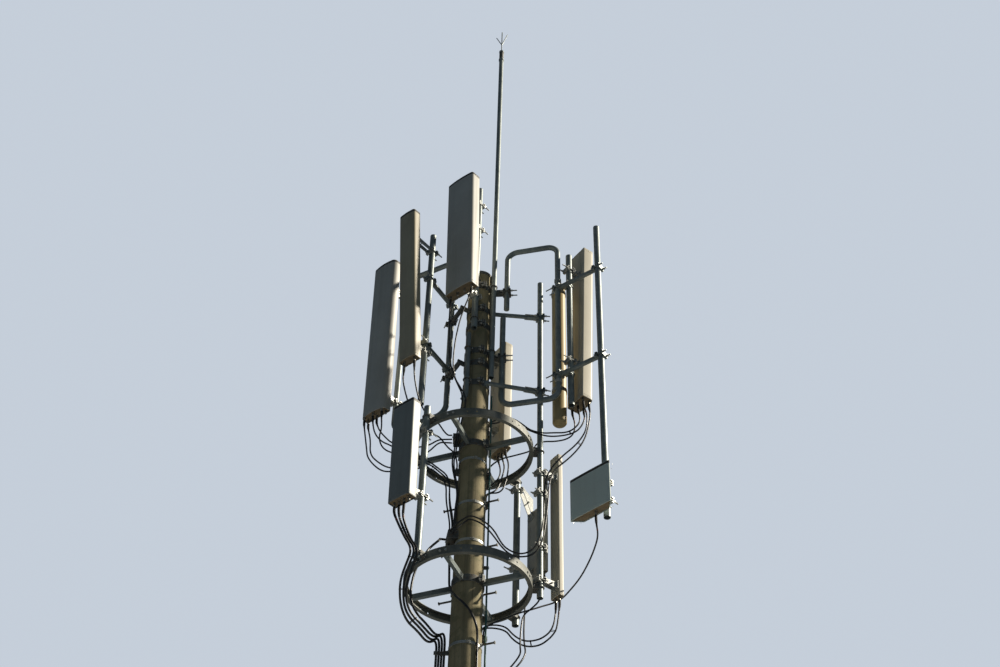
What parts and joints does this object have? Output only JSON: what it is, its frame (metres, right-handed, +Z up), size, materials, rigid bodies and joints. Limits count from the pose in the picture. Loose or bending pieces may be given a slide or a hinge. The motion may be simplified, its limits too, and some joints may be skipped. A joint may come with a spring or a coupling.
{
  "type": "cell tower",
  "caption": "Cell tower: a tapered concrete pole with sector panels on bent pipe frames, ring platforms, climbing pegs and a lightning rod",
  "frame": {"origin": "centre of the pole's flat base at ground level", "axes": "+Z up along the pole, -Y towards the front of the tower, +X along the ring arm on the right"},
  "size_m": [2.9363, 1.9893, 19.5401],
  "materials": {
    "concrete": "matte",
    "galvanised": "satin",
    "clamp_steel": "matte",
    "radome": "satin",
    "conductor": "matte",
    "cable": "matte"
  },
  "bodies": {
    "root": {"pole": "concrete", "pole_cap": "galvanised", "pole_straps": "galvanised", "climbing_pegs": "clamp_steel", "head_bands": "clamp_steel", "lightning_mast": "galvanised", "lightning_tip": "galvanised", "lightning_clamps": "clamp_steel", "ring_lower": "galvanised", "ring_upper": "galvanised", "ring_arms": "galvanised", "ring_hubs": "galvanised", "ring_clamps": "clamp_steel", "stand_pipe_left": "galvanised", "stand_pipe_right": "galvanised", "stand_pipe_rear": "galvanised", "outer_pipe_right": "galvanised", "right_panel_pipe": "galvanised", "narrow_panel_pipe": "galvanised", "head_panel_pipe": "galvanised", "back_panel_pipe": "galvanised", "bent_stub_pipe": "galvanised", "pipe_stand_offs": "clamp_steel", "frame_right": "galvanised", "frame_left": "galvanised", "frame_right_mounts": "clamp_steel", "frame_left_mounts": "clamp_steel", "outrigger_bars": "galvanised", "narrow_pipe_bars": "clamp_steel", "tie_bars": "clamp_steel", "front_panel": "radome", "narrow_panel": "radome", "wide_panel": "radome", "short_panel": "radome", "square_panel": "radome", "right_panel": "radome", "back_panel": "radome", "round_panel": "radome", "slim_panel": "radome", "thin_panel": "radome", "small_panel": "radome", "front_brackets": "clamp_steel", "rear_brackets": "clamp_steel", "round_panel_straps": "galvanised", "earth_wire": "conductor", "earth_stand_offs": "clamp_steel", "feeder_cables": "cable", "feeder_clamps": "clamp_steel", "cable_cleats": "clamp_steel", "wide_panel_cables": "cable", "front_panel_cables": "cable", "right_panel_cables": "cable", "back_panel_cables": "cable", "low_panel_cables": "cable"}
  },
  "joints": []
}
